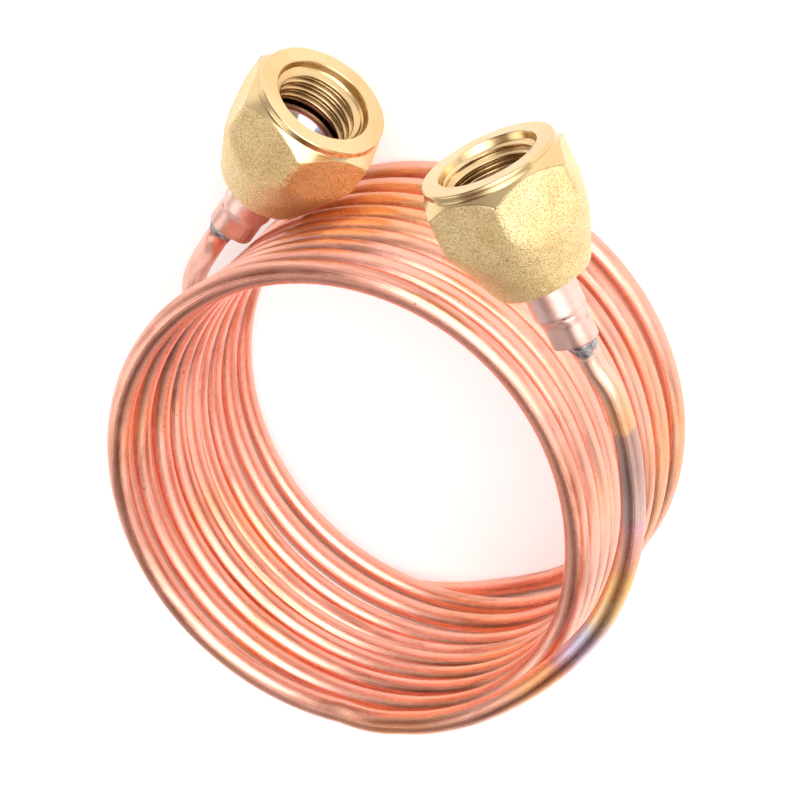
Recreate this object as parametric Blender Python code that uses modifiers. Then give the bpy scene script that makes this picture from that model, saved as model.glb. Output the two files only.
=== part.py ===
"""A coil of thin copper tube whose two ends are soldered into flared copper stubs.

A forged brass flare nut turns freely on each stub. The coil lies flat: its own axis stands
nearly upright, and it leans the little it needs to rest on its lowest turn.
Lengths are in millimetres until the last step, which turns and scales everything into metres.
"""

import math

import bmesh
import bpy
from mathutils import Matrix, Vector

MM = 0.001

# The thin tube and its coil
TUBE_R = 1.5
COIL_R = 29.3
TURNS_MID = 4.2
PITCH = 3.26
CROWN_SINK = 1.0
END_SPREAD = 1.7
BARREL = 0.55
OVAL = 1.3
LEAN_X = -0.09
LEAN_Y = 0.058
BULGE = 1.0
BULGE_TURN = 5.3
BULGE_ANGLE = 255.0
FRONT_SPREAD = 1.25
FRONT_TURNS = 1.7
CORNER_SPREAD = 1.6
CORNER_ANGLE = -50
FIRST_TURN = -0.25
LAST_TURN = 8.6
TUBE_TIP = -22.0
POINTS_PER_TURN = 34

# The flare nut, along its own axis from the mouth face at zero
NUT_LENGTH = 15.8
HEX_FLATS = 17.0
COLLAR_R = 8.3
COLLAR_DEPTH = 1.2
EDGE_BREAK = 0.3
CHAMFER_DEG = 45.0
BLANK_R = 9.6
SKIRT = ((9.6, -7.0), (8.9, -8.6), (8.4, -9.7), (7.55, -11.8), (6.6, -14.1), (6.1, -15.3), (5.6, -15.8))
MOUTH_R = 5.8
MOUTH_DEPTH = 1.6
THREAD_MAJOR_R = 5.56
THREAD_MINOR_R = 4.95
THREAD_PITCH = 1.27
THREAD_TURNS = 4
THREAD_LAND = 0.16
THREAD_SLOPE = 0.48
RELIEF_DEPTH = 7.2
SEAT_R = 4.95
NUT_HOLE_R = 3.45
NUT_STEPS = 42
BORE_STEPS = 30

# The flared stub, in the same axis
STUB_R = 3.175
STUB_BORE_R = 2.4
FLARE_R = 4.5
FLARE_TOP = -7.3
FLARE_WALL = 0.55
ROUND_END = -20.4
CRIMP_FULL = -22.2
STUB_END = -24.5
TUBE_SIDE = 0.8
CRIMP_R = 2.2
LIP_R = 1.75
LIP_SIDE = -1.1
PIT_R = 0.4
PIT_SIDE = -1.95
GAP = 0.28
POCKET_TOP = -21.6
PIT_TOP = -23.1
BELOW_END = -26.0
SHARP_DEG = 35.0

# The solder fillet round the thin tube where it leaves the stub
SOLDER_R = 2.2
SOLDER_END_R = 1.9
SOLDER_LENGTH = 1.9

# Where each nut's mouth face sits in the coil, which way it opens and how far it is turned
LEFT_FACE = Vector((-10.93, 44.59, -3.91))
LEFT_AXIS = Vector((0.518, 0.855, 0.03)).normalized()
LEFT_SIDE = Vector((-0.856, 0.517, 0.0)).normalized()
LEFT_TURN = 14.0
RIGHT_FACE = Vector((16.66, 52.67, 15.49))
RIGHT_AXIS = Vector((-0.452, 0.892, 0.0)).normalized()
RIGHT_SIDE = Vector((0.892, 0.452, 0.0)).normalized()
RIGHT_TURN = 22.0

# The bends between the coil and each stub
LEFT_LEAD = (
    (16.9, -27.0, -17.9),
    (11.2, -30.4, -18.0),
    (6.0, -32.6, -18.0),
    (1.2, -34.2, -18.0),
    (-4.4, -35.2, -17.9),
    (-10.6, -34.6, -17.8),
    (-16.8, -31.8, -17.7),
    (-22.4, -27.2, -17.6),
    (-27.2, -21.0, -17.4),
    (-31.0, -13.4, -16.8),
    (-33.1, -4.6, -15.4),
    (-32.8, 4.6, -13.0),
    (-31.0, 12.4, -10.0),
)
RIGHT_LEAD = (
    (32.4, 24.6, 15.5),
    (34.4, 18.2, 15.5),
    (35.3, 10.6, 15.5),
    (35.1, 4.1, 15.5),
    (33.6, -2.9, 15.5),
    (31.1, -9.1, 15.5),
    (26.8, -15.5, 15.5),
    (21.3, -21.5, 15.5),
    (14.8, -26.6, 15.4),
    (7.4, -29.8, 15.4),
)

# The coil's lean at rest, and how far it stands off the floor
REST_TURN_X = -2.1
REST_TURN_Y = -0.45
REST_SHIFT = Vector((-1.086, -9.775, 18.29))


def clear_scene():
    for item in list(bpy.data.objects):
        bpy.data.objects.remove(item, do_unlink=True)


def collection(name, hidden):
    made = bpy.data.collections.new(name)
    bpy.context.scene.collection.children.link(made)
    made.hide_render = hidden
    return made


def material(name, colour, roughness):
    made = bpy.data.materials.new(name)
    made.use_nodes = True
    shader = made.node_tree.nodes["Principled BSDF"]
    shader.inputs["Base Color"].default_value = (*colour, 1.0)
    shader.inputs["Metallic"].default_value = 1.0
    shader.inputs["Roughness"].default_value = roughness
    return made


def rest_matrix():
    """From the coil's own frame in millimetres to the resting object in metres."""
    lean = Matrix.Rotation(math.radians(REST_TURN_X), 4, "X")
    lean = lean @ Matrix.Rotation(math.radians(REST_TURN_Y), 4, "Y")
    return Matrix.Scale(MM, 4) @ Matrix.Translation(REST_SHIFT) @ lean


def fitting_matrix(face, axis, side, turn):
    """The frame of one end fitting: Z out of the mouth, X toward the thin tube's side."""
    across = axis.cross(side).normalized()
    frame = Matrix((across.cross(axis), across, axis)).transposed().to_4x4()
    frame.translation = face
    return frame @ Matrix.Rotation(math.radians(turn), 4, "Z")


def placed(name, data, where, home, look=None):
    item = bpy.data.objects.new(name, data)
    home.objects.link(item)
    # The scale goes into the mesh, so that the object itself is unscaled.
    matrix = rest_matrix() @ where
    place, turn, size = matrix.decompose()
    data.transform(Matrix.Diagonal((*size, 1.0)))
    item.matrix_world = Matrix.LocRotScale(place, turn, None)
    if look:
        data.materials.append(look)
    return item


def turned(name, profile, closed, steps, where, home, look=None):
    """A turned solid: the profile at +X runs down its outer side from top to bottom."""
    data = bpy.data.meshes.new(name)
    points = [(radius, 0.0, height) for radius, height in profile]
    edges = [(i, i + 1) for i in range(len(points) - 1)]
    if closed:
        edges.append((len(points) - 1, 0))
    data.from_pydata(points, edges, [])
    item = placed(name, data, where, home, look)
    screw = item.modifiers.new("Turn", "SCREW")
    screw.axis = "Z"
    screw.steps = steps
    screw.render_steps = steps
    screw.use_merge_vertices = True
    screw.merge_threshold = 0.000001
    return item


def lofted(name, rings, where, home, look=None):
    """A closed solid through rings of equally many points, listed from the top down."""
    count = len(rings[0])
    points = [point for ring in rings for point in ring]
    faces = [tuple(reversed(range((len(rings) - 1) * count, len(rings) * count)))]
    faces.append(tuple(range(count)))
    for ring in range(len(rings) - 1):
        for i in range(count):
            j = (i + 1) % count
            upper = ring * count
            lower = upper + count
            faces.append((upper + i, lower + i, lower + j, upper + j))
    data = bpy.data.meshes.new(name)
    data.from_pydata(points, [], faces)
    data.shade_smooth()
    data.set_sharp_from_angle(angle=math.radians(SHARP_DEG))
    return placed(name, data, where, home, look)


def boolean(item, other, operation):
    made = item.modifiers.new(operation.title(), "BOOLEAN")
    made.operation = operation
    made.solver = "EXACT"
    made.object = other


def as_helper(item):
    item.hide_render = True
    item.display_type = "WIRE"
    return item


def coil_point(turn):
    """The tube's centre after so many turns, starting at the left of the top turn and winding down."""
    angle = math.pi - 2.0 * math.pi * turn
    part = (turn - TURNS_MID) / TURNS_MID
    radius = COIL_R + BARREL * part * part - OVAL * math.cos(2.0 * angle)
    height = -PITCH * (turn - TURNS_MID) - CROWN_SINK * part**2 - END_SPREAD * part**3
    facing = 0.5 + 0.5 * math.cos(angle - math.radians(BULGE_ANGLE))
    swell = facing**2 * math.exp(-((turn - BULGE_TURN) ** 2))
    radius += BULGE * swell
    height += 0.4 * BULGE * swell
    leftward = 0.5 - 0.5 * math.cos(angle)
    radius += FRONT_SPREAD * leftward**3 * math.exp(-((turn / FRONT_TURNS) ** 2))
    corner = max(0.0, math.cos(angle - math.radians(CORNER_ANGLE)))
    if turn > 0.0:
        radius += CORNER_SPREAD * corner**4 * (1.0 - 0.6 * (turn / LAST_TURN) ** 8)
    x = radius * math.cos(angle) + LEAN_X * height
    y = radius * math.sin(angle) + LEAN_Y * height
    return Vector((x, y, height))


def smooth(points, pieces):
    """The points joined by a smooth curve through all of them, cut into so many pieces each."""
    found = []
    for i in range(1, len(points) - 2):
        before, start, end, after = points[i - 1 : i + 3]
        for step in range(pieces):
            t = step / pieces
            found.append(
                0.5
                * (
                    2.0 * start
                    + (end - before) * t
                    + (2.0 * before - 5.0 * start + 4.0 * end - after) * t**2
                    + (3.0 * start - before - 3.0 * end + after) * t**3
                )
            )
    return found


def tube_path():
    """The thin tube's centre line, from inside the left stub round the coil to inside the right one."""
    left_out = LEFT_FACE + LEFT_SIDE * TUBE_SIDE
    right_out = RIGHT_FACE + RIGHT_SIDE * TUBE_SIDE
    reach = (TUBE_TIP, TUBE_TIP - 3.0, TUBE_TIP - 6.0)
    left_end = [left_out + LEFT_AXIS * depth for depth in reach]
    right_end = [right_out + RIGHT_AXIS * depth for depth in reach]
    steps = round((LAST_TURN - FIRST_TURN) * POINTS_PER_TURN)
    turns = [FIRST_TURN + (LAST_TURN - FIRST_TURN) * i / steps for i in range(steps + 1)]
    coil = [coil_point(turn) for turn in turns]
    left_lead = [Vector(point) for point in LEFT_LEAD]
    right_lead = [Vector(point) for point in RIGHT_LEAD]
    first = right_end + right_lead + [coil[0], coil[3]]
    last = [coil[-4], coil[-1]] + left_lead + left_end[::-1]
    path = [right_end[0]] + smooth(first, 3)
    path += coil
    path += smooth(last, 4)[1:] + [left_end[1], left_end[0]]
    return path


def tube(home, look):
    curve = bpy.data.curves.new("capillary_coil", "CURVE")
    curve.dimensions = "3D"
    curve.bevel_depth = TUBE_R * MM
    curve.bevel_resolution = 2
    curve.use_fill_caps = True
    line = curve.splines.new("POLY")
    path = tube_path()
    line.points.add(len(path) - 1)
    matrix = rest_matrix()
    for point, place in zip(line.points, path):
        point.co = (*(matrix @ place), 1.0)
    item = bpy.data.objects.new("capillary_coil", curve)
    home.objects.link(item)
    curve.materials.append(look)
    return item


def hex_prism(name, where, home):
    data = bpy.data.meshes.new(name)
    build = bmesh.new()
    bmesh.ops.create_cone(
        build,
        cap_ends=True,
        segments=6,
        radius1=HEX_FLATS / math.sqrt(3.0),
        radius2=HEX_FLATS / math.sqrt(3.0),
        depth=NUT_LENGTH + 4.0,
        matrix=Matrix.Translation((0.0, 0.0, -NUT_LENGTH / 2.0)),
    )
    build.to_mesh(data)
    build.free()
    return as_helper(placed(name, data, where, home))


def nut_blank_profile():
    slope = math.tan(math.radians(CHAMFER_DEG))
    chamfer_end = -COLLAR_DEPTH - (BLANK_R - COLLAR_R) * slope
    profile = [(0.0, 0.0), (COLLAR_R - EDGE_BREAK, 0.0), (COLLAR_R, -EDGE_BREAK)]
    profile += [(COLLAR_R, -COLLAR_DEPTH), (BLANK_R, chamfer_end)]
    profile += list(SKIRT)
    profile.append((0.0, -NUT_LENGTH))
    return profile


def nut_bore_profile():
    profile = [(0.0, 1.0), (MOUTH_R + 1.3, 1.0), (MOUTH_R, -0.3), (MOUTH_R, -MOUTH_DEPTH)]
    for i in range(THREAD_TURNS):
        crest = -MOUTH_DEPTH - THREAD_SLOPE / 2.0 - THREAD_PITCH * i
        profile.append((THREAD_MINOR_R, crest))
        profile.append((THREAD_MINOR_R, crest - THREAD_LAND))
        profile.append((THREAD_MAJOR_R, crest - THREAD_LAND - THREAD_SLOPE))
    profile.append((THREAD_MAJOR_R, -RELIEF_DEPTH))
    profile.append((SEAT_R, -RELIEF_DEPTH - 0.05))
    profile.append((NUT_HOLE_R, -RELIEF_DEPTH - 0.05 - (SEAT_R - NUT_HOLE_R)))
    profile += [(NUT_HOLE_R, -NUT_LENGTH - 1.0), (0.0, -NUT_LENGTH - 1.0)]
    return profile


def nut(side_name, where, home, cutters, look):
    item = turned(side_name + "_flare_nut", nut_blank_profile(), False, NUT_STEPS, where, home, look)
    hexagon = hex_prism("cut_" + side_name + "_hexagon", where, cutters)
    bore = turned("cut_" + side_name + "_bore", nut_bore_profile(), False, BORE_STEPS, where, cutters)
    boolean(item, hexagon, "INTERSECT")
    boolean(item, as_helper(bore), "DIFFERENCE")
    return item


def stub_profile():
    cone_foot = FLARE_TOP - (FLARE_R - STUB_R) - 0.3
    return [
        (FLARE_R - 0.35, FLARE_TOP),
        (FLARE_R, FLARE_TOP - 0.3),
        (STUB_R, cone_foot),
        (STUB_R, ROUND_END),
        (STUB_BORE_R, ROUND_END),
        (STUB_BORE_R, cone_foot - 0.3),
        (FLARE_R - 0.35 - FLARE_WALL, FLARE_TOP),
    ]


def circle_ring(radius, height, count):
    angles = [2.0 * math.pi * i / count for i in range(count)]
    return [Vector((radius * math.cos(a), radius * math.sin(a), height)) for a in angles]


def crimp_ring(shrink, height, count):
    """A teardrop outline: a wide end round the thin tube and a pinched lip opposite."""
    ring = []
    for i in range(count):
        angle = 2.0 * math.pi * i / count
        wide = (TUBE_SIDE, CRIMP_R * shrink)
        lip = (LIP_SIDE, LIP_R * shrink)
        centre, radius = max(wide, lip, key=lambda end: end[0] * math.cos(angle) + end[1])
        ring.append(Vector((centre + radius * math.cos(angle), radius * math.sin(angle), height)))
    return ring


def blended(first, second, share):
    return [a.lerp(b, share) for a, b in zip(first, second)]


def stub(side_name, where, home, cutters, look):
    """The flared tube with its far end pressed to a teardrop round the thin tube."""
    item = turned(side_name + "_flared_stub", stub_profile(), True, 40, where, home, look)
    count = 40
    top = ROUND_END + 0.5
    rings = [circle_ring(STUB_R - 0.02, top, count), circle_ring(STUB_R - 0.02, ROUND_END, count)]
    middle = (ROUND_END + CRIMP_FULL) / 2.0
    round_ring = circle_ring(STUB_R - 0.1, middle, count)
    rings.append(blended(round_ring, crimp_ring(1.0, middle, count), 0.5))
    rings.append(crimp_ring(1.0, CRIMP_FULL, count))
    rings.append(crimp_ring(0.98, STUB_END + 0.3, count))
    rings.append(crimp_ring(0.88, STUB_END, count))
    crimp = as_helper(lofted("add_" + side_name + "_crimp", rings, where, cutters))
    pocket_wall = TUBE_R + GAP
    pocket = [(0.0, POCKET_TOP), (pocket_wall, POCKET_TOP)]
    pocket += [(pocket_wall, BELOW_END), (0.0, BELOW_END)]
    beside = where @ Matrix.Translation((TUBE_SIDE, 0.0, 0.0))
    hole = turned("cut_" + side_name + "_pocket", pocket, False, 32, beside, cutters)
    pit = [(0.0, PIT_TOP), (PIT_R, PIT_TOP - 0.2), (PIT_R, BELOW_END), (0.0, BELOW_END)]
    opposite = where @ Matrix.Translation((PIT_SIDE, 0.0, 0.0))
    dimple = turned("cut_" + side_name + "_lip_pit", pit, False, 16, opposite, cutters)
    boolean(item, crimp, "UNION")
    boolean(item, as_helper(hole), "DIFFERENCE")
    boolean(item, as_helper(dimple), "DIFFERENCE")
    return item


def solder(side_name, where, home, look):
    inner = TUBE_R + GAP
    top = STUB_END - GAP
    low = top - SOLDER_LENGTH
    profile = [(SOLDER_R, top), (SOLDER_R - 0.05, top - 0.5), (SOLDER_END_R, low)]
    profile += [(inner, low), (inner, top)]
    beside = where @ Matrix.Translation((TUBE_SIDE, 0.0, 0.0))
    return turned(side_name + "_solder_fillet", profile, True, 32, beside, home, look)


def main():
    clear_scene()
    home = collection("coiled_copper_connecting_tube", False)
    cutters = collection("cutters", True)
    tube(home, material("copper", (0.80, 0.36, 0.22), 0.22))
    ends = (
        ("left", LEFT_FACE, LEFT_AXIS, LEFT_SIDE, LEFT_TURN),
        ("right", RIGHT_FACE, RIGHT_AXIS, RIGHT_SIDE, RIGHT_TURN),
    )
    for side_name, face, axis, side, turn in ends:
        where = fitting_matrix(face, axis, side, 0.0)
        brass = material(side_name + "_forged_brass", (0.80, 0.62, 0.28), 0.30)
        nut(side_name, fitting_matrix(face, axis, side, turn), home, cutters, brass)
        copper = material(side_name + "_stub_copper", (0.72, 0.34, 0.22), 0.32)
        stub(side_name, where, home, cutters, copper)
        grey = material(side_name + "_silver_solder", (0.42, 0.42, 0.43), 0.45)
        solder(side_name, where, home, grey)


main()
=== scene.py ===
"""Looks of the coiled copper connecting tube: fine meshes, copper, brass and solder, light and camera."""

import math

import bpy
import numpy as np
from mathutils import Matrix, Vector, noise


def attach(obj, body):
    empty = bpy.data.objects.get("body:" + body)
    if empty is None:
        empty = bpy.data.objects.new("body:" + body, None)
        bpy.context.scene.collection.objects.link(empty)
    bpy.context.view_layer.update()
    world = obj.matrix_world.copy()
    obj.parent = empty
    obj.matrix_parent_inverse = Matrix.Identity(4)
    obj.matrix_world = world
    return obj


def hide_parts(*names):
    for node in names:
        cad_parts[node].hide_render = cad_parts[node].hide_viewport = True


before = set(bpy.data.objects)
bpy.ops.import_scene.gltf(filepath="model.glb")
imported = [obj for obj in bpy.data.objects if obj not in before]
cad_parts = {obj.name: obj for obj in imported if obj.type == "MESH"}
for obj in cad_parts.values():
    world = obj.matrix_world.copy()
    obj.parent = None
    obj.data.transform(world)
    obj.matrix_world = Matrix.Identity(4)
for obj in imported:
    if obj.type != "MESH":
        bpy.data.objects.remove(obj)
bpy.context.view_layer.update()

MM = 0.001

# ---------------------------------------------------------------- the design's dimensions, in millimetres
# the thin tube and its coil, whose turns are counted from the top
TUBE_R = 1.5
COIL_R = 29.3
TURNS_MID = 4.2
PITCH = 3.26
CROWN_SINK = 1.0
END_SPREAD = 1.7
BARREL = 0.55
OVAL = 1.3
LEAN_X = -0.09
LEAN_Y = 0.058
BULGE = 1.0
BULGE_TURN = 5.3
BULGE_ANGLE = 255.0
FRONT_SPREAD = 1.25
FRONT_TURNS = 1.7
CORNER_SPREAD = 1.6
CORNER_ANGLE = -50.0
FIRST_TURN = -0.25
LAST_TURN = 8.6

# the flare nut: heights run down from its turned face, which is at zero
NUT_LENGTH = 15.8
HEX_FLATS = 17.0
COLLAR_R = 8.3
COLLAR_DEPTH = 1.2
CHAMFER_DEG = 45.0
BLANK_R = 9.6
SKIRT = ((9.6, -7.0), (8.9, -8.6), (8.4, -9.7), (7.55, -11.8), (6.6, -14.1), (6.1, -15.3), (5.6, -15.8))
MOUTH_R = 5.8
MOUTH_DEPTH = 1.6
THREAD_MAJOR_R = 5.56
THREAD_MINOR_R = 4.95
THREAD_PITCH = 1.27
THREAD_START = 0.98
THREAD_END = 6.45
THREAD_FADE = 0.5
RELIEF_DEPTH = 7.2
SEAT_R = 4.95
NUT_HOLE_R = 3.45
FORGED_WANDER = 0.06

# the flared stub inside the nut, with the same zero
STUB_R = 3.175
STUB_BORE_R = 2.4
BORE_BOTTOM = -18.0
FLARE_R = 4.5
FLARE_TOP = -7.3
ROUND_END = -20.4
CRIMP_FULL = -22.2
STUB_END = -24.5
POCKET_TOP = -22.2
TUBE_SIDE = 0.8
CRIMP_R = 2.2
LIP_R = 1.75
LIP_SIDE = -1.1
PIT_R = 0.4
PIT_SIDE = -1.95

# the solder fillet round the thin tube
SOLDER_LENGTH = 2.1
SOLDER_MAX_R = 2.18
SOLDER_THICK = 0.66

# where the two end fittings are, in the coil's own frame
LEFT_FACE = Vector((-10.93, 44.59, -3.91))
LEFT_AXIS = Vector((0.518, 0.855, 0.03)).normalized()
LEFT_SIDE = Vector((-0.856, 0.517, 0.0)).normalized()
LEFT_TURN = 14.0
RIGHT_FACE = Vector((16.66, 52.67, 15.49))
RIGHT_AXIS = Vector((-0.452, 0.892, 0.0)).normalized()
RIGHT_SIDE = Vector((0.892, 0.452, 0.0)).normalized()
RIGHT_TURN = 22.0

LEFT_LEAD = (
    (16.9, -27.0, -17.9),
    (11.2, -30.4, -18.0),
    (6.0, -32.6, -18.0),
    (1.2, -34.2, -18.0),
    (-4.4, -35.2, -17.9),
    (-10.6, -34.6, -17.8),
    (-16.8, -31.8, -17.7),
    (-22.4, -27.2, -17.6),
    (-27.2, -21.0, -17.4),
    (-31.0, -13.4, -16.8),
    (-33.1, -4.6, -15.4),
    (-32.8, 4.6, -13.0),
    (-31.0, 12.4, -10.0),
)
RIGHT_LEAD = (
    (32.4, 24.6, 15.5),
    (34.4, 18.2, 15.5),
    (35.3, 10.6, 15.5),
    (35.1, 4.1, 15.5),
    (33.6, -2.9, 15.5),
    (31.1, -9.1, 15.5),
    (26.8, -15.5, 15.5),
    (21.3, -21.5, 15.5),
    (14.8, -26.6, 15.4),
    (7.4, -29.8, 15.4),
)

# how the coil's own frame lies at rest
REST_TURN_X = -2.1
REST_TURN_Y = -0.45
REST_SHIFT = Vector((-1.086, -9.775, 18.29))

# ---------------------------------------------------------------- how fine the meshes are
COIL_STEPS_PER_TURN = 110
LEAD_STEPS = 14
# the leads join the coil three points of the CAD tube, which has 34 a turn, from the coil's ends
JOIN_STEPS = round(COIL_STEPS_PER_TURN * 3 / 34)
TUBE_SIDES = 28
NUT_SIDES = 264
STUB_SIDES = 144
SOLDER_SIDES = 96


def rest_matrix():
    """From the coil's own frame in millimetres to the resting object in metres."""
    lean = Matrix.Rotation(math.radians(REST_TURN_X), 4, "X")
    lean = lean @ Matrix.Rotation(math.radians(REST_TURN_Y), 4, "Y")
    return Matrix.Scale(MM, 4) @ Matrix.Translation(REST_SHIFT) @ lean


def fitting_matrix(face, axis, side, turn):
    """The frame of one end fitting: Z out of the mouth, X toward the thin tube's side."""
    across = axis.cross(side).normalized()
    placed = Matrix((across.cross(axis), across, axis)).transposed().to_4x4()
    placed.translation = face
    return placed @ Matrix.Rotation(math.radians(turn), 4, "Z")


# ---------------------------------------------------------------- node trees
class Tree:
    """A short way to write the nodes of a material or a world."""

    def __init__(self, owner):
        owner.use_nodes = True
        self.owner = owner
        self.nodes = owner.node_tree.nodes
        self.links = owner.node_tree.links

    def add(self, kind, **settings):
        node = self.nodes.new(kind)
        inputs = settings.pop("inputs", {})
        for key, value in settings.items():
            setattr(node, key, value)
        for key, value in inputs.items():
            self.set(node.inputs[key], value)
        return node

    def set(self, socket, value):
        """Links a socket's value in, or sets it when it is a constant."""
        if isinstance(value, bpy.types.NodeSocket):
            self.links.new(value, socket)
        else:
            socket.default_value = value

    def math(self, operation, first, second=0.0, third=0.0):
        node = self.add("ShaderNodeMath", operation=operation, inputs={0: first, 1: second, 2: third})
        return node.outputs[0]

    def dot(self, first, second):
        node = self.add("ShaderNodeVectorMath", operation="DOT_PRODUCT", inputs={0: first, 1: second})
        return node.outputs["Value"]

    def noise(self, vector, scale, detail=3.0, rough=0.5, distortion=0.0):
        inputs = {"Vector": vector, "Scale": scale, "Detail": detail, "Roughness": rough}
        inputs["Distortion"] = distortion
        return self.add("ShaderNodeTexNoise", inputs=inputs).outputs["Fac"]

    def ramp(self, value, stops):
        """A colour ramp through stops of (place, colour)."""
        node = self.add("ShaderNodeValToRGB", inputs={"Fac": value})
        elements = node.color_ramp.elements
        while len(elements) < len(stops):
            elements.new(0.5)
        for element, (place, colour) in zip(elements, stops):
            element.position = place
            element.color = (*colour, 1.0)
        return node.outputs["Color"]

    def levels(self, value, stops):
        """A grey ramp through stops of (place, level)."""
        return self.ramp(value, [(place, (level, level, level)) for place, level in stops])

    def mix(self, share, first, second, blend="MIX"):
        node = self.add("ShaderNodeMix", data_type="RGBA", blend_type=blend)
        self.set(node.inputs[0], share)
        for socket, value in ((6, first), (7, second)):
            linked = isinstance(value, bpy.types.NodeSocket)
            self.set(node.inputs[socket], value if linked else (*value, 1.0))
        return node.outputs[2]

    def mapped(self, vector, scale):
        return self.add("ShaderNodeMapping", inputs={"Vector": vector, "Scale": scale}).outputs["Vector"]

    def coordinates(self, kind):
        return self.add("ShaderNodeTexCoord").outputs[kind]

    def attribute(self, name):
        return self.add("ShaderNodeAttribute", attribute_type="GEOMETRY", attribute_name=name).outputs

    def channels(self, name):
        split = self.add("ShaderNodeSeparateColor", inputs={"Color": self.attribute(name)["Color"]})
        return split.outputs["Red"], split.outputs["Green"], split.outputs["Blue"]

    def bump(self, height, distance, strength=1.0, normal=None):
        inputs = {"Height": height, "Distance": distance, "Strength": strength}
        if normal is not None:
            inputs["Normal"] = normal
        return self.add("ShaderNodeBump", inputs=inputs).outputs["Normal"]

    def finish(self, **sockets):
        """Sets the Principled shader's sockets, named with _ for a space, and returns the material."""
        for name, value in sockets.items():
            self.set(self.nodes["Principled BSDF"].inputs[name.replace("_", " ")], value)
        return self.owner


# heat colours from soldering, from the right-hand solder (0) to clean copper (1)
HEAT_COLOURS = (
    (0.00, (0.90, 0.60, 0.50)),
    (0.12, (0.93, 0.58, 0.42)),
    (0.19, (0.95, 0.52, 0.20)),
    (0.218, (0.93, 0.50, 0.24)),
    (0.228, (0.42, 0.31, 0.27)),
    (0.29, (0.42, 0.31, 0.28)),
    (0.38, (0.55, 0.42, 0.36)),
    (0.43, (0.70, 0.38, 0.42)),
    (0.485, (0.86, 0.41, 0.28)),
    (0.53, (0.95, 0.50, 0.15)),
    (0.60, (0.93, 0.60, 0.24)),
    (0.65, (0.62, 0.58, 0.42)),
    (0.695, (0.48, 0.52, 0.68)),
    (0.74, (0.62, 0.48, 0.66)),
    (0.77, (0.52, 0.25, 0.27)),
    (0.81, (0.92, 0.38, 0.12)),
    (0.90, (0.95, 0.46, 0.22)),
    (1.00, (0.95, 0.49, 0.36)),
)
HEAT_LENGTH = 0.066


def heated(t, colour, place, uv):
    """The copper's colour with the heat colours along the start of the tube, in uneven patches."""
    along = t.add("ShaderNodeSeparateXYZ", inputs={"Vector": uv}).outputs["X"]
    wander = t.math("MULTIPLY", t.math("SUBTRACT", t.noise(place, 170.0, 2.0), 0.5), 0.007)
    sharp = t.math("MULTIPLY", t.math("SUBTRACT", t.noise(place, 420.0, 2.0), 0.5), 0.0022)
    reach = t.math("DIVIDE", t.math("ADD", along, t.math("ADD", wander, sharp)), HEAT_LENGTH)
    fade = t.levels(reach, [(0.0, 0.5), (0.15, 0.9), (0.88, 0.85), (1.0, 0.0)])
    patches = t.levels(t.noise(t.mapped(uv, (90.0, 2.0, 1.0)), 1.0, 2.0), [(0.30, 0.6), (0.6, 1.0)])
    share = t.mix(1.0, fade, patches, "MULTIPLY")
    return t.mix(share, colour, t.ramp(reach, HEAT_COLOURS))


def copper_material():
    """Bright drawn copper: UV runs along the tube in x (metres from the right end) and round it in y."""
    t = Tree(bpy.data.materials.new("drawn_copper"))
    place, uv = t.coordinates("Object"), t.coordinates("UV")
    # broad shifts between pink and orange, and faint brown stains
    pink, rose, orange = (0.93, 0.41, 0.30), (0.955, 0.475, 0.36), (0.95, 0.43, 0.22)
    colour = t.ramp(t.noise(place, 38.0, 3.0, 0.55), [(0.30, pink), (0.50, rose), (0.68, orange)])
    stain = t.noise(t.mapped(uv, (55.0, 3.0, 1.0)), 1.0, 4.0, 0.6, 0.4)
    colour = t.mix(t.levels(stain, [(0.52, 0.0), (0.66, 0.65)]), colour, (0.44, 0.17, 0.11))
    colour = heated(t, colour, place, uv)
    # fine drawing lines along the tube and tiny dark specks
    lines = t.noise(t.mapped(uv, (14.0, 34.0, 1.0)), 1.0, 6.0, 0.7)
    fine = t.noise(t.mapped(uv, (60.0, 120.0, 1.0)), 1.0, 4.0, 0.7)
    colour = t.mix(0.55, colour, t.levels(lines, [(0.36, 0.82), (0.5, 1.0)]), "MULTIPLY")
    specks = t.levels(t.noise(place, 1500.0, 2.0, 0.6), [(0.705, 0.0), (0.74, 0.85)])
    rare = t.levels(t.noise(place, 160.0, 2.0), [(0.52, 0.0), (0.62, 1.0)])
    colour = t.mix(t.mix(1.0, specks, rare, "MULTIPLY"), colour, (0.10, 0.045, 0.03))
    wear = t.math("ADD", t.math("MULTIPLY", lines, 0.6), t.math("MULTIPLY", t.noise(place, 420.0), 0.4))
    roughness = t.levels(wear, [(0.35, 0.19), (0.65, 0.32)])
    normal = t.bump(lines, 0.00009, 0.5)
    normal = t.bump(fine, 0.00002, 0.6, normal)
    normal = t.bump(t.noise(place, 260.0, 2.0), 0.00008, 0.35, normal)
    return t.finish(Base_Color=colour, Roughness=roughness, Normal=normal, Metallic=1.0)


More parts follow.
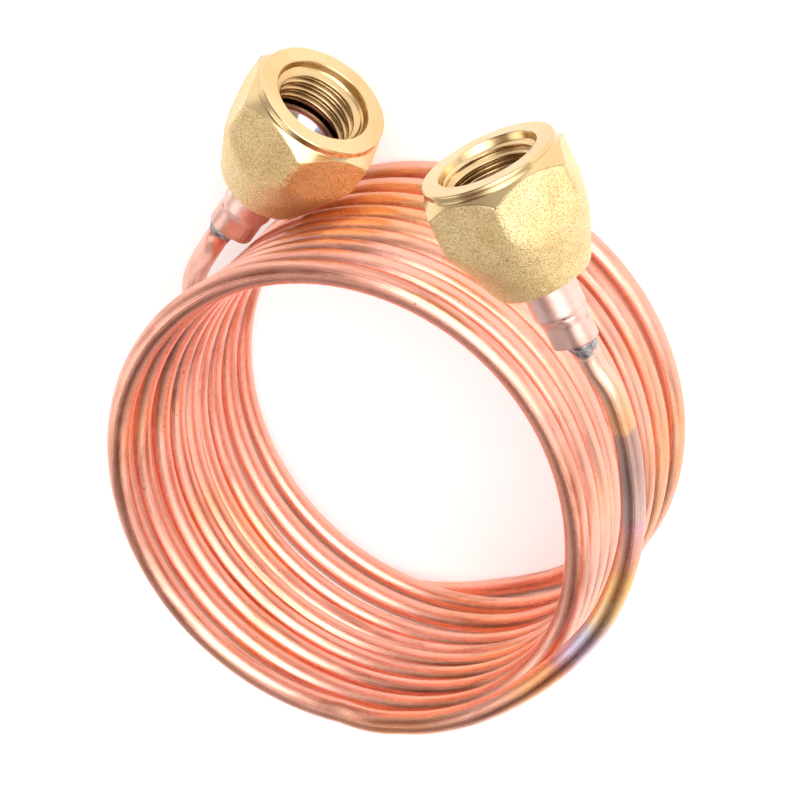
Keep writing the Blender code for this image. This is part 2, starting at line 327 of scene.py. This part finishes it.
def stub_material():
    """Annealed copper. Zones: red the flare's bright cone, green the solder's heat, blue painted shade in
    the dents, the notch, the step's crease, the end's pit and the tube's pocket.
    """
    t = Tree(bpy.data.materials.new("stub_copper"))
    place = t.coordinates("Object")
    cone, heat, notch_shade = t.channels("zones")
    pink, pale, dull = (0.88, 0.54, 0.46), (0.94, 0.64, 0.56), (0.86, 0.48, 0.38)
    colour = t.ramp(t.noise(place, 220.0, 3.0), [(0.35, pink), (0.55, pale), (0.72, dull)])
    dark, light = (0.38, 0.17, 0.12), (0.80, 0.42, 0.34)
    burnt = t.ramp(t.noise(place, 500.0, 4.0, 0.6), [(0.40, dark), (0.62, light)])
    colour = t.mix(t.math("MULTIPLY", heat, 0.35), colour, burnt)
    # painted shade in the dents, the notch, the step, the pit and the pocket
    colour = t.mix(notch_shade, colour, (0.16, 0.08, 0.07))
    colour = t.mix(cone, colour, (0.44, 0.46, 0.56))
    colour = t.mix(t.attribute("rim")["Fac"], colour, (0.80, 0.20, 0.18))
    scratch = t.noise(place, 2600.0, 4.0, 0.65)
    roughness = t.levels(scratch, [(0.35, 0.32), (0.65, 0.42)])
    roughness = t.mix(cone, roughness, (0.12, 0.12, 0.12))
    normal = t.bump(scratch, 0.00002, 0.5)
    normal = t.bump(t.noise(place, 700.0, 2.0), 0.00006, 0.4, normal)
    return t.finish(Base_Color=colour, Roughness=roughness, Normal=normal, Metallic=1.0)


def brass_material():
    """Forged brass. Zones: red where it was turned bright, green painted shade growing down the thread and
    full on the seat and in the relief, blue darker painted shade in the relief, on the seat and at the
    thread's inner end.
    """
    t = Tree(bpy.data.materials.new("forged_brass"))
    place = t.coordinates("Object")
    turned, painted_hole_shade, dark = t.channels("zones")
    brown, golden, pale = (0.85, 0.61, 0.29), (0.95, 0.73, 0.38), (0.98, 0.79, 0.47)
    forged = t.ramp(t.noise(place, 150.0, 4.0, 0.6), [(0.30, brown), (0.50, golden), (0.72, pale)])
    grain = t.noise(place, 5200.0, 2.0, 0.6)
    pits, skin, tips = (0.56, 0.42, 0.27), (0.95, 0.93, 0.90), (1.12, 1.12, 1.12)
    shade = t.ramp(grain, [(0.36, pits), (0.50, skin), (0.66, tips)])
    forged = t.mix(0.75, forged, shade, "MULTIPLY")
    bright = t.ramp(t.noise(place, 110.0, 2.0), [(0.35, (0.72, 0.50, 0.24)), (0.65, (0.80, 0.60, 0.33))])
    colour = t.mix(turned, forged, bright)
    # painted shade: browner further down the hole, near black in the relief and on the seat
    colour = t.mix(t.math("MULTIPLY", painted_hole_shade, 0.6), colour, (0.36, 0.17, 0.07))
    colour = t.mix(t.math("MULTIPLY", dark, 0.85), colour, (0.11, 0.05, 0.03))
    # the tool's fine rings on the turned faces follow the depth of cut
    rings = {"W": t.attribute("depth")["Fac"], "Scale": 9.0, "Detail": 4.0, "Roughness": 0.7}
    lathe = t.add("ShaderNodeTexNoise", noise_dimensions="1D", inputs=rings).outputs["Fac"]
    rough_forged = t.levels(grain, [(0.30, 0.46), (0.65, 0.34)])
    rough_turned = t.levels(lathe, [(0.35, 0.12), (0.65, 0.22)])
    roughness = t.mix(turned, rough_forged, rough_turned)
    sandy = t.math("SUBTRACT", 1.0, turned)
    normal = t.bump(t.math("MULTIPLY", grain, sandy), 0.0002, 0.8)
    dents = t.math("MULTIPLY", t.noise(place, 420.0, 3.0, 0.6), sandy)
    normal = t.bump(dents, 0.0004, 0.5, normal)
    normal = t.bump(t.math("MULTIPLY", lathe, turned), 0.00002, 0.5, normal)
    return t.finish(Base_Color=colour, Roughness=roughness, Normal=normal, Metallic=1.0)


def solder_material():
    """Dull grey solder where it is thick (zones red) and tinned copper where it thins out."""
    t = Tree(bpy.data.materials.new("silver_solder"))
    place = t.coordinates("Object")
    dark, grey, pale = (0.12, 0.12, 0.12), (0.32, 0.31, 0.32), (0.66, 0.63, 0.61)
    colour = t.ramp(t.noise(place, 900.0, 4.0, 0.65), [(0.32, dark), (0.50, grey), (0.68, pale)])
    thick = t.channels("zones")[0]
    colour = t.mix(thick, (0.90, 0.56, 0.45), colour)
    roughness = t.levels(t.noise(place, 2400.0, 3.0), [(0.3, 0.30), (0.7, 0.50)])
    normal = t.bump(t.noise(place, 1500.0, 4.0, 0.6), 0.0002, 0.6)
    return t.finish(Base_Color=colour, Roughness=roughness, Normal=normal, Metallic=1.0)


def floor_material():
    """A pale, faintly glowing ground, so that the object's shadow stays light."""
    t = Tree(bpy.data.materials.new("pale_floor"))
    colour = t.levels(t.noise(t.coordinates("Object"), 3.0, 2.0), [(0.3, 0.76), (0.7, 0.79)])
    white = (1.0, 1.0, 1.0, 1.0)
    glow = {"Emission_Color": white, "Emission_Strength": 0.42}
    return t.finish(Base_Color=colour, Roughness=0.7, Metallic=0.0, **glow)


# ---------------------------------------------------------------- meshes
def to_rest(points, where=Matrix.Identity(4)):
    """Points of the coil's own frame, or of a fitting's, where they lie at rest in metres."""
    matrix = np.array(rest_matrix() @ where)
    return points @ matrix[:3, :3].T + matrix[:3, 3]


def to_mesh(name, points, faces, material):
    """A smooth object of the points and faces, in the scene."""
    data = bpy.data.meshes.new(name)
    data.from_pydata([tuple(p) for p in points], [], faces)
    data.materials.append(material)
    data.shade_smooth()
    item = bpy.data.objects.new(name, data)
    bpy.context.scene.collection.objects.link(item)
    return item


def paint(item, name, values):
    """Gives every vertex a colour or a number that the material reads by name."""
    values = np.asarray(values, np.float32)
    if values.ndim == 2:
        layer = item.data.color_attributes.new(name, "FLOAT_COLOR", "POINT")
        layer.data.foreach_set("color", values.ravel())
    else:
        layer = item.data.attributes.new(name, "FLOAT", "POINT")
        layer.data.foreach_set("value", values)


def grid_faces(rows, columns, wrap_rows):
    """Quads between rings of equally many points; the last ring may join the first."""
    last = rows if wrap_rows else rows - 1
    faces = []
    for i in range(last):
        first = i * columns
        second = ((i + 1) % rows) * columns
        for j in range(columns):
            k = (j + 1) % columns
            faces.append((first + j, first + k, second + k, second + j))
    return faces


def capped_faces(rows, columns):
    """Quads between the rings, with a flat face over the first ring and the last."""
    faces = grid_faces(rows, columns, False)
    faces.append(tuple(reversed(range(columns))))
    faces.append(tuple(range((rows - 1) * columns, rows * columns)))
    return faces


def outward(item):
    """Turns the faces out if the mesh was wound inside out."""
    item.data.calc_loop_triangles()
    points = np.empty(len(item.data.vertices) * 3)
    item.data.vertices.foreach_get("co", points)
    points = points.reshape(-1, 3)
    corners = np.empty(len(item.data.loop_triangles) * 3, np.int32)
    item.data.loop_triangles.foreach_get("vertices", corners)
    triangles = points[corners.reshape(-1, 3)] - points.mean(axis=0)
    if np.linalg.det(triangles).sum() < 0.0:
        item.data.flip_normals()
    return item


class Rings:
    """Rings of points round an axis that make a skin, and what each ring tells its material."""

    def __init__(self, columns):
        self.columns = columns
        self.angles = np.linspace(0.0, 2.0 * math.pi, columns, endpoint=False)
        self.circle = np.stack([np.cos(self.angles), np.sin(self.angles)], 1)
        self.rows, self.zones, self.numbers = [], [], []

    def spread(self, value):
        return np.broadcast_to(np.asarray(value, float), (self.columns,))

    def add(self, outline, height, zones=(0.0, 0.0, 0.0), number=0.0):
        """One ring: its outline in x and y, its height, three zone channels and one number more."""
        self.rows.append(np.column_stack([outline, self.spread(height)]))
        self.zones.append(np.column_stack([self.spread(value) for value in (*zones, 1.0)]))
        self.numbers.append(self.spread(number))


# ---------------------------------------------------------------- the thin tube
def coil_point(turn):
    """The tube's centre after so many turns, starting at the left of the top turn and winding down."""
    angle = math.pi - 2.0 * math.pi * turn
    part = (turn - TURNS_MID) / TURNS_MID
    radius = COIL_R + BARREL * part * part - OVAL * math.cos(2.0 * angle)
    height = -PITCH * (turn - TURNS_MID) - CROWN_SINK * part**2 - END_SPREAD * part**3
    facing = 0.5 + 0.5 * math.cos(angle - math.radians(BULGE_ANGLE))
    swell = facing**2 * math.exp(-((turn - BULGE_TURN) ** 2))
    radius += BULGE * swell
    height += 0.4 * BULGE * swell
    leftward = 0.5 - 0.5 * math.cos(angle)
    radius += FRONT_SPREAD * leftward**3 * math.exp(-((turn / FRONT_TURNS) ** 2))
    corner = max(0.0, math.cos(angle - math.radians(CORNER_ANGLE)))
    if turn > 0.0:
        radius += CORNER_SPREAD * corner**4 * (1.0 - 0.6 * (turn / LAST_TURN) ** 8)
    x = radius * math.cos(angle) + LEAN_X * height
    y = radius * math.sin(angle) + LEAN_Y * height
    return Vector((x, y, height))


def smooth(points, pieces):
    """The points joined by a smooth curve through all of them, cut into so many pieces each."""
    found = []
    for i in range(1, len(points) - 2):
        before, start, end, after = points[i - 1 : i + 3]
        for step in range(pieces):
            t = step / pieces
            found.append(
                0.5
                * (
                    2.0 * start
                    + (end - before) * t
                    + (2.0 * before - 5.0 * start + 4.0 * end - after) * t**2
                    + (3.0 * start - before - 3.0 * end + after) * t**3
                )
            )
    return found


def tube_path():
    """The thin tube's centre line, from inside the right stub round the coil to inside the left one."""
    left_out = LEFT_FACE + LEFT_SIDE * TUBE_SIDE
    right_out = RIGHT_FACE + RIGHT_SIDE * TUBE_SIDE
    reach = (-22.4, -25.0, -28.0)
    left_end = [left_out + LEFT_AXIS * depth for depth in reach]
    right_end = [right_out + RIGHT_AXIS * depth for depth in reach]
    turns = LAST_TURN - FIRST_TURN
    steps = round(turns * COIL_STEPS_PER_TURN)
    coil = [coil_point(FIRST_TURN + turns * i / steps) for i in range(steps + 1)]
    left_lead = [Vector(point) for point in LEFT_LEAD]
    right_lead = [Vector(point) for point in RIGHT_LEAD]
    first = right_end + right_lead + [coil[0], coil[JOIN_STEPS]]
    last = [coil[-1 - JOIN_STEPS], coil[-1]] + left_lead + left_end[::-1]
    first, last = smooth(first, LEAD_STEPS), smooth(last, LEAD_STEPS)
    return [right_end[0]] + first + coil + last[1:] + [left_end[1], left_end[0]]


def tube_radius(along, angle):
    """A drawn tube's radius: bent a little oval, with a slow unevenness."""
    slow = math.sin(along * 0.21) * math.sin(along * 0.043 + 1.0)
    return TUBE_R - 0.018 + 0.008 * math.cos(2.0 * angle + along * 0.01) + 0.006 * slow


def swept(name, path, radius_at, sides, material):
    """A round tube along a path, with UV x as metres along it and UV y once round it."""
    path = np.array([tuple(p) for p in path])
    steps = np.linalg.norm(np.diff(path, axis=0), axis=1)
    along = np.concatenate([[0.0], np.cumsum(steps)])
    ahead = np.gradient(path, axis=0)
    ahead /= np.linalg.norm(ahead, axis=1)[:, None]
    side = np.cross(ahead[0], (0.0, 0.0, 1.0))
    side /= np.linalg.norm(side)
    rows = []
    angles = np.linspace(0.0, 2.0 * math.pi, sides, endpoint=False)
    for i in range(len(path)):
        side = side - ahead[i] * side.dot(ahead[i])
        side /= np.linalg.norm(side)
        up = np.cross(ahead[i], side)
        radius = np.array([radius_at(along[i], a) for a in angles])
        around = np.cos(angles)[:, None] * side + np.sin(angles)[:, None] * up
        rows.append(path[i] + radius[:, None] * around)
    item = to_mesh(name, to_rest(np.concatenate(rows)), capped_faces(len(path), sides), material)
    values = np.zeros((len(item.data.loops), 2), np.float32)
    for i in range((len(path) - 1) * sides):
        row, column = divmod(i, sides)
        s0, s1 = along[row] * MM, along[row + 1] * MM
        v0, v1 = column / sides, (column + 1) / sides
        values[4 * i : 4 * i + 4] = ((s0, v0), (s0, v1), (s1, v1), (s1, v0))
    item.data.uv_layers.new(name="UVMap").data.foreach_set("uv", values.ravel())
    return item


# ---------------------------------------------------------------- the flare nut
def smooth_min(a, b, soft):
    """The smaller of the two, rounded where they are within soft of each other."""
    share = np.clip(0.5 + 0.5 * (b - a) / soft, 0.0, 1.0)
    return b + (a - b) * share - soft * share * (1.0 - share)


def hexagon_radius(angles):
    """Distance from the axis to the hexagon's sides, its corners eased."""
    local = (angles + math.pi / 6.0) % (math.pi / 3.0) - math.pi / 6.0
    one = (HEX_FLATS / 2.0) / np.cos(local)
    other = (HEX_FLATS / 2.0) / np.cos(math.pi / 3.0 - np.abs(local))
    return smooth_min(one, other, 0.35)


def flat_profile(spacing, *points):
    """Points along a chain of straight pieces, close together, each given as (radius, height)."""
    found = []
    for (r0, z0), (r1, z1) in zip(points, points[1:]):
        count = max(1, math.ceil(math.hypot(r1 - r0, z1 - z0) / spacing))
        for i in range(count):
            t = i / count
            found.append((r0 + (r1 - r0) * t, z0 + (z1 - z0) * t))
    found.append(points[-1])
    return found


def skirt_curve():
    """The skirt's outline with its kinks smoothed, led in along the flats and out over the rear face."""
    guided = ((BLANK_R, -5.0), *SKIRT, (4.4, -15.9))
    chain = [Vector((radius, height, 0.0)) for radius, height in guided]
    return [(p.x, p.y) for p in smooth(chain, 10)] + [SKIRT[-1]]


def nut_face(ring):
    """The mouth's small chamfer, the turned face and the collar with its shallow step."""
    edge = 0.26
    flat_r = COLLAR_R - 0.30
    step_r, groove_r = COLLAR_R - 0.04, COLLAR_R - 0.14
    mouth = flat_profile(0.1, (MOUTH_R + 0.22, -0.30), (MOUTH_R + 0.30, -0.06), (MOUTH_R + 0.38, 0.0))
    face = flat_profile(0.16, (MOUTH_R + 0.5, 0.0), (flat_r, 0.0))
    bends = [i / 6 * math.pi / 2 for i in range(1, 7)]
    rounded = [(flat_r + edge * math.sin(a), -edge + edge * math.cos(a)) for a in bends]
    step = ((step_r, -0.30), (step_r, -0.52), (groove_r, -0.60), (groove_r, -0.98))
    collar = flat_profile(0.09, *step, (COLLAR_R, -COLLAR_DEPTH))[:-1]
    for radius, height in mouth + face + rounded + collar:
        ring(radius, height, 1.0)


def nut_outside(ring, angles):
    """The chamfer, the flats and the skirt, where the hexagon cuts the turned blank."""
    hexagon = hexagon_radius(angles)
    chamfer_end = -COLLAR_DEPTH - (BLANK_R - COLLAR_R) * math.tan(math.radians(CHAMFER_DEG))
    outline = flat_profile(0.07, (COLLAR_R, -COLLAR_DEPTH), (BLANK_R, chamfer_end))
    outline += [(BLANK_R, z) for z in np.linspace(chamfer_end, SKIRT[0][1], 34)[1:-1]]
    for radius, height in outline:
        on_chamfer = height > chamfer_end - 0.01
        turned = np.clip((hexagon - radius) / 0.10 + 0.5, 0.0, 1.0) if on_chamfer else 0.0
        ring(smooth_min(np.full(NUT_SIDES, radius), hexagon, 0.10), height, turned)
    for radius, height in skirt_curve()[1:]:
        ring(smooth_min(np.full(NUT_SIDES, radius), hexagon, 0.55), height, 0.0)


def nut_inside(ring, angles):
    """From the rear face up the hole: the flare's seat, the relief, the thread and the mouth's cone."""
    rear, hole = -NUT_LENGTH, NUT_HOLE_R
    for radius, height in flat_profile(0.3, (5.1, rear), (hole + 0.2, rear), (hole, rear + 0.2)):
        ring(radius, height, 0.6)
    # the seat and the relief below the thread get full painted shade
    seat_top = -RELIEF_DEPTH - 0.05
    seat_foot = seat_top - (SEAT_R - hole)
    for radius, height in flat_profile(0.4, (hole, -15.4), (hole, seat_foot), (SEAT_R, seat_top)):
        ring(radius, height, 1.0, 1.0, 0.9)
    for radius, height in flat_profile(0.2, (THREAD_MAJOR_R, -RELIEF_DEPTH), (THREAD_MAJOR_R, -THREAD_END)):
        ring(radius, height, 1.0, 1.0, 1.0)
    # the right-handed thread, which runs out in the mouth's cone
    cone_r = MOUTH_R + 0.04
    for height in np.arange(-THREAD_END + 0.05, -THREAD_START, 0.055):
        phase = ((-height / THREAD_PITCH) + angles / (2.0 * math.pi)) % 1.0
        rise = np.abs(phase - 0.5) * 2.0
        crest = np.clip((rise - 0.18) / 0.62, 0.0, 1.0)
        crest = crest * crest * (3.0 - 2.0 * crest) * 0.35 + crest * 0.65
        groove = THREAD_MAJOR_R + (THREAD_MINOR_R - THREAD_MAJOR_R) * crest
        fade_in = min(1.0, max(0.0, (-THREAD_START - height) / THREAD_FADE))
        fade_out = min(1.0, max(0.0, (height + THREAD_END) / THREAD_FADE))
        widening = max(0.0, (height + MOUTH_DEPTH) / (MOUTH_DEPTH - THREAD_START))
        edge_r = THREAD_MAJOR_R + (cone_r - THREAD_MAJOR_R) * widening
        # painted shade that grows down the thread, and darker painted shade at its inner end
        painted_hole_shade = 0.10 + 0.5 * min(1.0, -height / 6.5)
        dark = max(0.0, (-height - 5.7) / 0.8) ** 2
        ring(edge_r + (groove - edge_r) * fade_in * fade_out, height, 1.0, painted_hole_shade, dark)
    for radius, height in flat_profile(0.14, (cone_r, -THREAD_START), (MOUTH_R + 0.20, -0.40)):
        ring(radius, height, 1.0)


def nut(name, where, material):
    """The whole flare nut as one skin, from its mouth over the outside and back through the hole."""
    rings = Rings(NUT_SIDES)

    def ring(radius, height, turned, painted_hole_shade=0.0, dark=0.0):
        radius = rings.spread(radius)
        rings.add(rings.circle * radius[:, None], height, (turned, painted_hole_shade, dark), radius * 3.0 + height)

    nut_face(ring)
    nut_outside(ring, rings.angles)
    nut_inside(ring, rings.angles)
    points = np.concatenate(rings.rows)
    zones = np.concatenate(rings.zones)
    # a forging is never quite true: a slow wander of the as-forged surface, inward only
    wander = np.array([noise.noise(Vector(p) * 0.32) for p in points])
    forged = (1.0 - zones[:, 0])[:, None]
    out = points.copy()
    out[:, 2] = 0.0
    out /= np.maximum(np.linalg.norm(out, axis=1), 1e-6)[:, None]
    points = points - out * forged * (FORGED_WANDER * (1.0 + wander))[:, None]
    faces = [tuple(reversed(face)) for face in grid_faces(len(rings.rows), NUT_SIDES, True)]
    item = to_mesh(name, to_rest(points, where), faces, material)
    paint(item, "zones", zones)
    paint(item, "depth", np.concatenate(rings.numbers))
    return item


# ---------------------------------------------------------------- the flared stub
def crimp_outline(angles):
    """The pressed end's teardrop: a circle round the thin tube drawn out to a narrow lip beside it."""
    wide, lip = (TUBE_SIDE, CRIMP_R), (LIP_SIDE, LIP_R)
    points = []
    for angle in angles:
        centre, radius = max(wide, lip, key=lambda end: end[0] * math.cos(angle) + end[1])
        points.append((centre + radius * math.cos(angle), radius * math.sin(angle)))
    return np.array(points)


def stub_flare(rings):
    """The bore up to the flare's bright cone, its rolled rim, and down the outside to the crimp."""
    circle = rings.circle
    cone_foot = FLARE_TOP - (FLARE_R - STUB_R) - 0.3
    bore_top = cone_foot - 0.3
    rim_r, rim_top = FLARE_R + 0.3, FLARE_TOP + 0.35
    rim_in = rim_r - 0.45
    rings.add(circle * 0.02, BORE_BOTTOM)
    bore = flat_profile(0.8, (1.2, BORE_BOTTOM), (STUB_BORE_R, BORE_BOTTOM), (STUB_BORE_R, bore_top))
    for radius, height in bore:
        rings.add(circle * radius, height, (0.2, 0.0, 0.0))
    for radius, height in flat_profile(0.14, (STUB_BORE_R, bore_top), (rim_in, rim_top - 0.02)):
        rings.add(circle * radius, height, (1.0, 0.0, 0.0))
    middle, half = (rim_r + rim_in) / 2.0, (rim_r - rim_in) / 2.0
    for i in range(7):
        a = math.pi * (1.0 - i / 6)
        rings.add(circle * (middle + half * math.cos(a)), rim_top - 0.10 + 0.10 * math.sin(a), number=1.0)
    outside = ((rim_r - 0.02, rim_top - 0.25), (STUB_R, cone_foot), (STUB_R, ROUND_END + 0.35))
    for radius, height in flat_profile(0.3, *outside):
        rings.add(circle * radius, height)


def stub_crimp(rings):
    """The pressed end: a small step, then a change from round to teardrop, and the end face."""
    circle = rings.circle
    full = crimp_outline(rings.angles)
    step_r = STUB_R - 0.16
    change = (ROUND_END - CRIMP_FULL) * 0.8
    for i in range(1, 7):
        a = i / 6
        drop = 0.5 - 0.5 * math.cos(math.pi * a)
        # painted shade in the step's crease
        zones = (0.0, 0.1 * a, 0.25 * math.sin(math.pi * a))
        rings.add(circle * (STUB_R - 0.16 * drop), ROUND_END + 0.35 - 0.30 * a, zones)
    for i in range(1, 19):
        a = i / 18
        share = 0.35 + 0.65 * (0.5 - 0.5 * math.cos(math.pi * a)) if i > 2 else 0.175 * i
        height = ROUND_END - change * a
        rings.add(circle * step_r * (1.0 - share) + full * share, height, (0.0, 0.1 + 0.3 * a, 0.0))
    for i in range(1, 15):
        a = i / 14
        height = CRIMP_FULL * (1.0 - a) + (STUB_END + 0.25) * a
        rings.add(full, height, (0.0, 0.4 + 0.5 * a, 0.0))
    for i in range(1, 7):
        a = i / 6 * math.pi / 2
        outline = full * (1.0 - 0.09 * (1.0 - math.cos(a)))
        rings.add(outline, STUB_END + 0.25 - 0.25 * math.sin(a), (0.0, 0.95, 0.0))
    # the end face with a pit in its lip, and the pocket that the thin tube sits in, both with painted shade
    edge = full * 0.91
    pocket = circle * (TUBE_R + 0.02) + (TUBE_SIDE, 0.0)
    for i in range(1, 21):
        a = i / 20
        outline = edge * (1.0 - a) + pocket * a
        away = np.linalg.norm(outline - (PIT_SIDE, 0.0), axis=1)
        dip = np.clip(1.35 - away / PIT_R, 0.0, 1.0)
        dip = dip * dip * (3.0 - 2.0 * dip)
        rings.add(outline, STUB_END + 1.2 * dip, (0.0, 1.0, dip))
    inside = (0.0, 1.0, 0.6)
    for height in (-24.0, -23.0, POCKET_TOP):
        rings.add(pocket, height, inside)
    rings.add(circle * 0.02 + (TUBE_SIDE, 0.0), POCKET_TOP, inside)


def stub(name, where, material, seed, notch_angle):
    """Flare, round tube and crimp as one skin, from the bore's closed bottom to the thin tube's pocket."""
    rings = Rings(STUB_SIDES)
    stub_flare(rings)
    stub_crimp(rings)
    points = np.concatenate(rings.rows)
    zones = np.concatenate(rings.zones)
    # small dents from the pressing tool, only on the outside behind the nut; the last is a deep notch
    random = np.random.default_rng(seed)
    behind_nut = (points[:, 2] < -NUT_LENGTH - 0.8) & (points[:, 2] > STUB_END + 0.02)
    outside = behind_nut & (np.linalg.norm(points[:, :2], axis=1) > 2.0)
    dents = 6
    for i in range(dents):
        notch_shade = i == dents - 1
        height = random.uniform(ROUND_END - 2.0, ROUND_END + 0.3)
        angle = random.uniform(0.0, 2.0 * math.pi)
        if notch_shade:
            height, angle = ROUND_END + 0.05, notch_angle
        centre = np.array([3.0 * math.cos(angle), 3.0 * math.sin(angle), height])
        gap = np.linalg.norm((points - centre) * (1.0, 1.0, 2.2), axis=1)
        push = np.clip(1.0 - gap / random.uniform(0.6, 1.1), 0.0, 1.0) ** 2
        push = np.where(outside, push, 0.0)
        points[:, :2] *= (1.0 - 0.07 * push)[:, None]
        # painted shade in each dent, darkest in the notch
        zones[:, 2] = np.maximum(zones[:, 2], (1.0 if notch_shade else 0.4) * push)
    item = to_mesh(name, to_rest(points, where), capped_faces(len(rings.rows), STUB_SIDES), material)
    paint(item, "zones", zones)
    paint(item, "rim", np.concatenate(rings.numbers))
    return item


# ---------------------------------------------------------------- the solder fillet
def solder(name, where, material, seed, lean, cover):
    """A frozen fillet between the stub's end and the thin tube, thickest at the angle lean."""
    rings = Rings(SOLDER_SIDES)
    beside_tube = (TUBE_SIDE, 0.0)
    offset = Vector((seed * 11.7, seed * 5.3, 0.0))
    top, low = STUB_END - 0.02, STUB_END - SOLDER_LENGTH
    for i in range(29):
        a = i / 28
        height = top + (low - top) * a
        fillet = SOLDER_THICK * (1.0 - a) ** 1.7
        reaches, shares = [], []
        for angle in rings.angles:
            heavy = 0.60 + 0.40 * math.cos(angle - lean)
            here = Vector((math.cos(angle) * 1.4, math.sin(angle) * 1.4, height * 0.9)) + offset
            rough = 0.10 * noise.noise(here) + 0.05 * noise.noise(here * 3.1)
            tongue = max(0.0, math.cos(0.5 * (angle - lean))) ** 2 - 1.0 + cover - 0.75 * a + 1.2 * rough
            thick = min(1.0, max(0.0, 4.0 * tongue))
            build = max(0.0, fillet * heavy + (rough + 0.02) * (1.0 - a) ** 0.5)
            reaches.append(min(TUBE_R + 0.015 + thick * build, SOLDER_MAX_R))
            shares.append(thick)
        outline = rings.circle * np.array(reaches)[:, None] + beside_tube
        rings.add(outline, height, (shares, 0.0, 0.0))
    for height in (low, top):
        rings.add(rings.circle * (TUBE_R - 0.05) + beside_tube, height)
    points = to_rest(np.concatenate(rings.rows), where)
    item = to_mesh(name, points, grid_faces(len(rings.rows), SOLDER_SIDES, True), material)
    paint(item, "zones", np.concatenate(rings.zones))
    return item


# ---------------------------------------------------------------- the object
copper = copper_material()
stub_copper = stub_material()
brass = brass_material()
solder_grey = solder_material()

coil = outward(swept("copper_capillary", tube_path(), tube_radius, TUBE_SIDES, copper))
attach(coil, "coil")
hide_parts("capillary_coil")

# side, face, axis, thin tube's side, nut's turn, seed, solder's heavy angle and how far round it reaches
ENDS = (
    ("left", LEFT_FACE, LEFT_AXIS, LEFT_SIDE, LEFT_TURN, 3, 1.5, 1.2),
    ("right", RIGHT_FACE, RIGHT_AXIS, RIGHT_SIDE, RIGHT_TURN, 8, 5.0, 0.72),
)
for side_name, face, axis, side, turn, seed, lean, cover in ENDS:
    where = fitting_matrix(face, axis, side, 0.0)
    piece = outward(stub(side_name + "_stub_tube", where, stub_copper, seed, lean + 0.15))
    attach(piece, "coil")
    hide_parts(side_name + "_flared_stub")
    piece = outward(solder(side_name + "_solder", where, solder_grey, seed, lean, cover))
    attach(piece, "coil")
    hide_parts(side_name + "_solder_fillet")
    piece = outward(nut(side_name + "_nut", fitting_matrix(face, axis, side, turn), brass))
    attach(piece, side_name + "_nut")
    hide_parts(side_name + "_flare_nut")

# ---------------------------------------------------------------- floor, light and camera
floor_data = bpy.data.meshes.new("floor")
floor_data.from_pydata([(-4, -4, 0), (4, -4, 0), (4, 4, 0), (-4, 4, 0)], [], [(0, 1, 2, 3)])
floor_data.materials.append(floor_material())
floor = bpy.data.objects.new("floor", floor_data)
bpy.context.scene.collection.objects.link(floor)

KEY_DIRECTION = Vector((0.49, 0.41, 0.77)).normalized()
# brightness of the white tent from straight behind the object (0) round to the key light (1)
SKY = ((0.0, 0.62), (0.40, 0.56), (0.64, 0.58), (0.80, 0.72), (0.88, 1.05), (0.94, 2.0), (1.0, 3.6))
# two dark boards in the tent, which the bright tubes mirror as brown patches
BOARDS = (Vector((-0.515, 0.361, 0.777)), Vector((0.055, -0.627, 0.777)))
BOARD_COLOUR = (0.30, 0.16, 0.13)
BOARD_EDGE = (0.84, 0.97)


def studio_world():
    """A white tent, brightest round the key light, with the two boards in it."""
    world = bpy.data.worlds.new("studio")
    t = Tree(world)
    direction = t.coordinates("Generated")
    facing = t.math("MULTIPLY_ADD", t.dot(direction, KEY_DIRECTION), 0.5, 0.5)
    colour = t.levels(facing, SKY)
    for board in BOARDS:
        edge = {"From Min": BOARD_EDGE[0], "From Max": BOARD_EDGE[1]}
        edge["Value"] = t.dot(direction, board.normalized())
        near = t.add("ShaderNodeMapRange", interpolation_type="SMOOTHSTEP", inputs=edge)
        colour = t.mix(near.outputs["Result"], colour, BOARD_COLOUR, "MULTIPLY")
    t.set(t.nodes["Background"].inputs["Color"], colour)
    return world


def area_light(name, place, size, energy):
    """A rectangular lamp aimed at the middle of the object."""
    data = bpy.data.lights.new(name, "AREA")
    data.shape = "RECTANGLE"
    data.size, data.size_y = size
    data.energy = energy
    item = bpy.data.objects.new(name, data)
    bpy.context.scene.collection.objects.link(item)
    item.location = place
    aim = Vector((0.0, 0.0, 0.02)) - Vector(place)
    item.rotation_euler = aim.to_track_quat("-Z", "Y").to_euler()


bpy.context.scene.world = studio_world()
area_light("key", (0.15, 0.55, 0.55), (0.4, 0.4), 1.2)
area_light("fill", (-0.6, -0.2, 0.5), (0.35, 0.6), 0.7)
area_light("edge", (0.5, -0.35, 0.35), (0.2, 0.6), 0.4)

CAMERA_PLACE = (0.1496, 0.2936, 0.4096)
CAMERA_TURN = (-35.535, 20.49, -0.785)
CAMERA_LENS = 189.0

lens = bpy.data.cameras.new("camera")
lens.sensor_width = 36.0
lens.lens = CAMERA_LENS
lens.clip_start = 0.01
camera = bpy.data.objects.new("camera", lens)
bpy.context.scene.collection.objects.link(camera)
camera.location = CAMERA_PLACE
camera.rotation_euler = [math.radians(turn) for turn in CAMERA_TURN]
bpy.context.scene.camera = camera
bpy.context.scene.view_settings.view_transform = "Standard"
